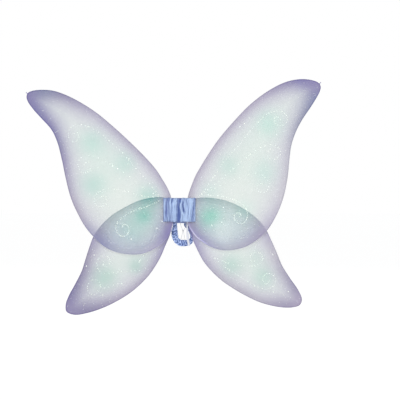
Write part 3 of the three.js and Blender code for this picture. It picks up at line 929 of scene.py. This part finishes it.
def make_band_front():
    """Crushed satin over the middle: vertical creases, with its edges turned back to the wings."""
    columns, rows = 230, 170
    width, height = BAND_HIGH.x - BAND_LOW.x, BAND_HIGH.z - BAND_LOW.z
    verts, colours = [], []
    for j in range(rows + 1):
        for i in range(columns + 1):
            u, v = i / columns, j / rows
            x = BAND_LOW.x + width * u
            z = BAND_LOW.z + height * v
            lift = crease(x, z)
            turned = (1 - min(min(u, 1 - u) * width / TURNED_OVER, 1)) ** 2
            edge = min(v, 1 - v) * height
            rolled = (1 - min(edge / ROLLED_OVER, 1)) ** 2
            y = BAND_LOW.y + BAND_FACE - BAND_RELIEF * lift * (1 - 0.7 * turned)
            y = min(y + TURNED_BACK * turned + ROLLED_BACK * rolled, BAND_REAR_Y)
            frayed = 0.0013 * wave(120 * x, 9, 0.3) * (1 - min(edge / 0.02, 1))
            verts.append((x, y, z + frayed))
            # The colour follows the crease height: painted shade in the folds and painted highlights on
            # the ridges.
            colour = BAND_FOLD_SHADE + (BAND_RIDGE_HIGHLIGHT - BAND_FOLD_SHADE) * min(max(lift, 0), 1)
            tint = 0.30 * smoothstep(-0.016, -0.040, x + 0.004 * wave(30 * x, 4, 30 * z))
            # Painted shade where the top and bottom edges roll back.
            shade = 1 - 0.22 * rolled * (0.5 + noise.noise(Vector((x * 300, 2, z * 80))))
            colours.append((*(mix(colour, BAND_PURPLE, tint * (1 - lift)) * shade), 1))
    across = columns + 1
    faces = [
        (j * across + i, j * across + i + 1, (j + 1) * across + i + 1, (j + 1) * across + i)
        for j in range(rows)
        for i in range(columns)
    ]
    piece = mesh_piece("band_front_satin", verts, faces, SATIN)
    set_paint(piece, colours)
    thick = piece.modifiers.new("cloth", "SOLIDIFY")
    thick.thickness = 0.0004
    thick.offset = 1
    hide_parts("band_front")
    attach(piece, "hub")


make_band_front()

# ---- straps ----

# The straps' painted shade for the gathers, the satin's middle tone, and painted highlight for the puffs.
STRAP_GATHER_SHADE = linear(0x42568E)
STRAP_MID = linear(0x6B84BF)
STRAP_PUFF_HIGHLIGHT = linear(0xC4D6FF)


def bend_strap(piece):
    """Bakes the piece's placement into its mesh."""
    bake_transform(piece)


def make_strap(name):
    """A ruched satin tube over elastic: puffs and gathers all round, with scalloped edges."""
    route = evenly(catmull_rom(STRAP_ROUTE, False), 340)
    line = np.column_stack([route[:, 0], np.full(len(route), STRAP_Y[name]), route[:, 2]])
    half_wide = route[:, 1]
    total = length_of(line)
    angles = np.linspace(0, math.tau, 40, endpoint=False)
    offsets, colours = [], []
    for half, s in zip(half_wide, np.linspace(0, total, len(line))):
        row = []
        for a in angles:
            across = math.sin(a)
            puff = noise.noise(Vector((1.6 * math.cos(a), 1.6 * across, s * 150)))
            gather = abs(math.sin(s * 400 + 1.2 * across + 2.4 * puff))
            fine = noise.noise(Vector((5 * math.cos(a), 5 * across, s * 620)))
            lift = min(max(0.95 * gather**1.3 + 0.50 * puff + 0.30 * fine, 0), 1)
            wide = half * (0.84 + 0.24 * lift)
            thick = STRAP_HALF_THICK * (0.58 + 0.42 * lift)
            row.append((thick * math.cos(a), wide * across))
            # Painted light: painted shade towards the strap's sides and in the gathers, painted
            # highlights on the puffs.
            lift = max(lift - 0.20 * abs(across) ** 3, 0)
            colour = mix(STRAP_GATHER_SHADE, STRAP_MID, min(lift / 0.55, 1))
            colours.append((*mix(colour, STRAP_PUFF_HIGHLIGHT, 0.9 * smoothstep(0.50, 0.92, lift)), 1))
        offsets.append(row)
    verts, faces = sweep(line, offsets, (0, 1, 0))
    verts[:, 2] = np.minimum(verts[:, 2], STRAP_TOP_Z)
    piece = mesh_piece(f"{name}_strap_ruching", verts, faces, STRAP_SATIN)
    set_paint(piece, colours)
    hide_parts(f"{name}_strap_cover")
    bend_strap(piece)


def make_elastic(name):
    """The flat elastic inside the ruching, along the same route."""
    route = evenly(catmull_rom(STRAP_ROUTE, False), 160)
    line = np.column_stack([route[:, 0], np.full(len(route), STRAP_Y[name]), route[:, 2]])
    section = circle(1, 12) * (ELASTIC_HALF_THICK, ELASTIC_HALF_WIDTH)
    verts, faces = sweep(line, np.repeat(section[None], len(line), axis=0), (0, 1, 0))
    piece = mesh_piece(f"{name}_strap_core", verts, faces, ELASTIC)
    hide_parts(f"{name}_strap_elastic")
    bend_strap(piece)


for name in STRAP_Y:
    make_strap(name)
    make_elastic(name)

# ---- ribbon and cords ----


def make_cord(name, route, with_pieces=()):
    """A thin cord of three twisted strands."""
    line = evenly(catmull_rom(route, False), 70)
    around = np.linspace(0, math.tau, 12, endpoint=False)
    strands = [1 + 0.10 * np.cos(3 * around + 0.9 * i) for i in range(len(line))]
    offsets = [circle(CORD_RADIUS, 12) * strand[:, None] for strand in strands]
    verts, faces = sweep(line, offsets, (0, 1, 0))
    piece = mesh_piece(f"{name}_strand", verts, faces, CORD)
    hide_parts(name)
    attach(piece, "hub")


def make_cord_knot():
    """An overhand knot: one cord wound round where both cross."""
    t = np.linspace(0, 1, 120)
    angle = math.tau * 2.6 * t
    radius = 0.0017 + 0.0003 * np.sin(3 * angle)
    line = np.stack([
        CORD_KNOT.x + radius * np.cos(angle),
        CORD_KNOT.y + radius * np.sin(angle),
        CORD_KNOT.z + 0.0031 * (t - 0.5) + 0.0003 * np.cos(2 * angle),
    ], axis=1)
    piece = round_tube("white_cord_knot_turns", line, CORD_RADIUS, 10, CORD, (0, 0, 1))
    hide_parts("white_cord_knot")
    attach(piece, "hub")
    return piece


def make_ribbon():
    """A narrow ribbon, pinched where it is sewn under the band and full width at its end."""
    line = evenly(catmull_rom(RIBBON_ROUTE, False), 60)
    section = np.array([
        (-0.00025, -0.5), (0.00005, -0.5), (0.0003, -0.25), (0.00035, 0),
        (0.0003, 0.25), (0.00005, 0.5), (-0.00025, 0.5), (-0.0001, 0),
    ])
    widths = RIBBON_WIDTH * (0.6 + 0.4 * smoothstep(0, 0.6, np.linspace(0, 1, len(line))))
    offsets = [section * (1, width) for width in widths]
    verts, faces = sweep(line, offsets, (0, 1, 0))
    piece = mesh_piece("white_ribbon_band", verts, faces, RIBBON)
    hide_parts("white_ribbon")
    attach(piece, "hub")


make_cord("white_cord_left", LEFT_CORD_ROUTE, [make_cord_knot()])
make_cord("white_cord_right", RIGHT_CORD_ROUTE)
make_ribbon()

# ---- the CAD nodes that stay ----


def finish_cad_node(name, material):
    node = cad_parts[name]
    node.data.materials.clear()
    node.data.materials.append(material)


for name in WINGS:
    finish_cad_node(f"{name}_root_tie", THREAD)
finish_cad_node("core_pad", FOAM)
finish_cad_node("binding_tape", TAPE)
finish_cad_node("band_back", FELT)
finish_cad_node("strap_tab", FELT)

# ---- stage, light and camera ----

FLOOR_HALF_SIZE = 30.0
FLOOR_DROP = 0.06
FLOOR_GLOW = 0.91
WORLD_LIGHT = 0.46
WIDTH_SEEN = 1.2
VIEW_CENTRE = Vector((0.0615, -0.010, 0.030))


def make_stage():
    size = FLOOR_HALF_SIZE
    height = CAD_BOX[0].z - FLOOR_DROP
    m = Nodes("stage_white", roughness=0.9, specular=0.1)
    m.shader.inputs["Base Color"].default_value = (0.15, 0.15, 0.15, 1)
    m.shader.inputs["Emission Color"].default_value = (1, 1, 1, 1)
    m.shader.inputs["Emission Strength"].default_value = FLOOR_GLOW
    corners = [(-size, -size, height), (size, -size, height), (size, size, height),
               (-size, size, height)]
    mesh_piece("stage_floor", corners, [(0, 1, 2, 3)], m.material)


def add_light(name, place, target, size, power):
    data = bpy.data.lights.new(name, "AREA")
    data.size = size
    data.energy = power
    lamp = bpy.data.objects.new(name, data)
    lamp.location = place
    lamp.rotation_euler = (Vector(target) - Vector(place)).to_track_quat("-Z", "Y").to_euler()
    bpy.context.scene.collection.objects.link(lamp)


def make_world():
    """White where the camera sees it, and dimmer where it lights the object."""
    world = bpy.data.worlds.new("studio")
    bpy.context.scene.world = world
    world.use_nodes = True
    tree = world.node_tree
    tree.nodes.clear()
    lit, seen = (tree.nodes.new("ShaderNodeBackground") for _ in range(2))
    lit.inputs["Strength"].default_value = WORLD_LIGHT
    lit.inputs["Color"].default_value = (0.96, 0.98, 1, 1)
    seen.inputs["Color"].default_value = (1, 1, 1, 1)
    path = tree.nodes.new("ShaderNodeLightPath")
    both = tree.nodes.new("ShaderNodeMixShader")
    out = tree.nodes.new("ShaderNodeOutputWorld")
    tree.links.new(path.outputs["Is Camera Ray"], both.inputs["Fac"])
    tree.links.new(lit.outputs["Background"], both.inputs[1])
    tree.links.new(seen.outputs["Background"], both.inputs[2])
    tree.links.new(both.outputs["Shader"], out.inputs["Surface"])


def make_camera():
    data = bpy.data.cameras.new("camera")
    data.lens = 100
    data.sensor_width = 36
    camera = bpy.data.objects.new("camera", data)
    distance = WIDTH_SEEN * data.lens / data.sensor_width
    camera.location = VIEW_CENTRE - Vector((0, distance, 0))
    camera.rotation_euler = (math.pi / 2, 0, 0)
    bpy.context.scene.collection.objects.link(camera)
    bpy.context.scene.camera = camera


make_stage()
make_world()
add_light("key", (-1.4, -2.2, 1.9), (0, 0, 0.05), 1.2, 39)
add_light("fill", (1.9, -2.0, 0.5), (0, 0, 0), 1.6, 13)
add_light("back", (0.4, 2.2, 1.6), (0, 0, 0), 1.6, 14)
make_camera()
bpy.context.scene.view_settings.view_transform = "Standard"
